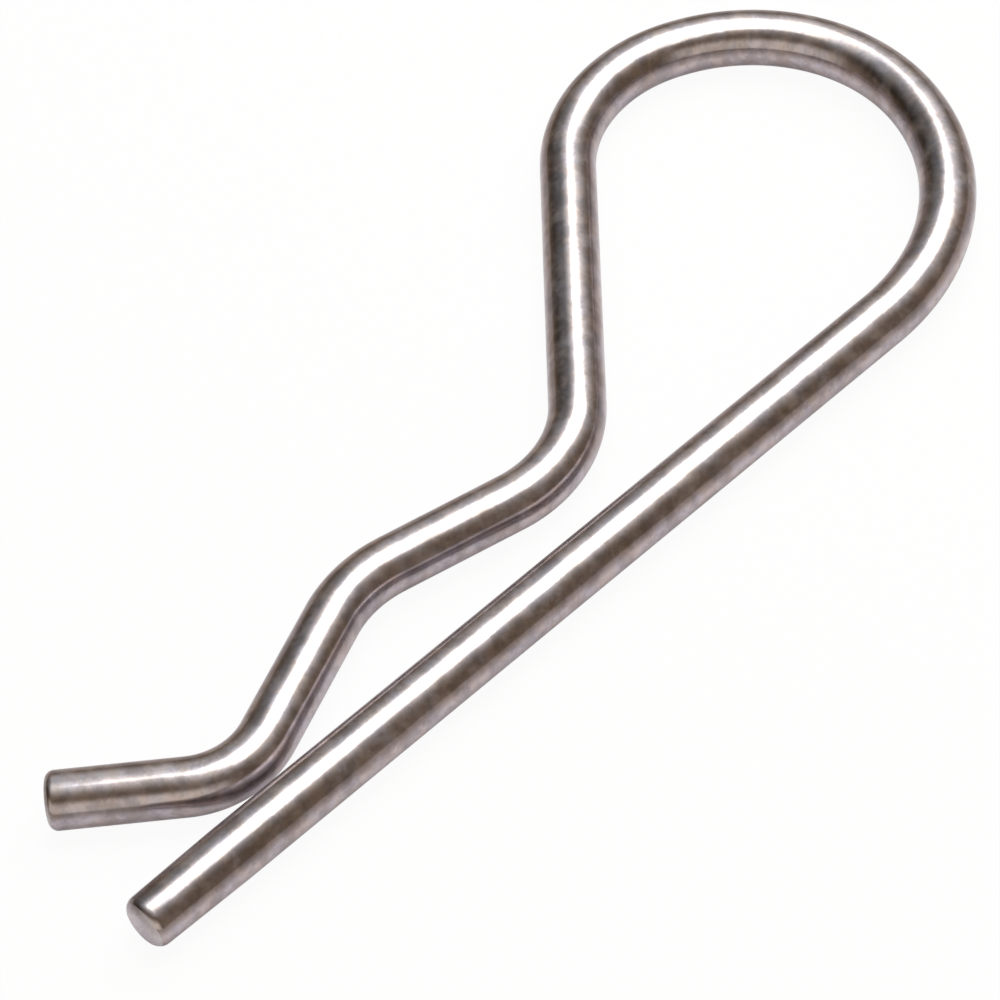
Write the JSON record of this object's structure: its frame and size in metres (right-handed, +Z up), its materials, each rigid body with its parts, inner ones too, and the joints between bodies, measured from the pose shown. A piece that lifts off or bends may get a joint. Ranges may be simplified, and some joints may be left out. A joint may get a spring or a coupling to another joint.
{
  "type": "hitch pin clip",
  "caption": "Round spring wire bent flat into a straight leg, an open loop and a wavy spring leg that snaps over a cross-drilled shaft.",
  "frame": {"origin": "under the middle of the clip's box, at the level of the surface that it lies on", "axes": "+X along the straight leg from its tip towards the loop, +Y from the straight leg towards the formed leg, +Z up, square to the plane in which the wire is bent"},
  "size_m": [0.0968, 0.038, 0.0045],
  "materials": {
    "bright_steel": "bright drawn spring steel, tumbled, with fine mottled grain"
  },
  "bodies": {
    "root": {"spring_wire": "bright_steel"}
  },
  "joints": []
}
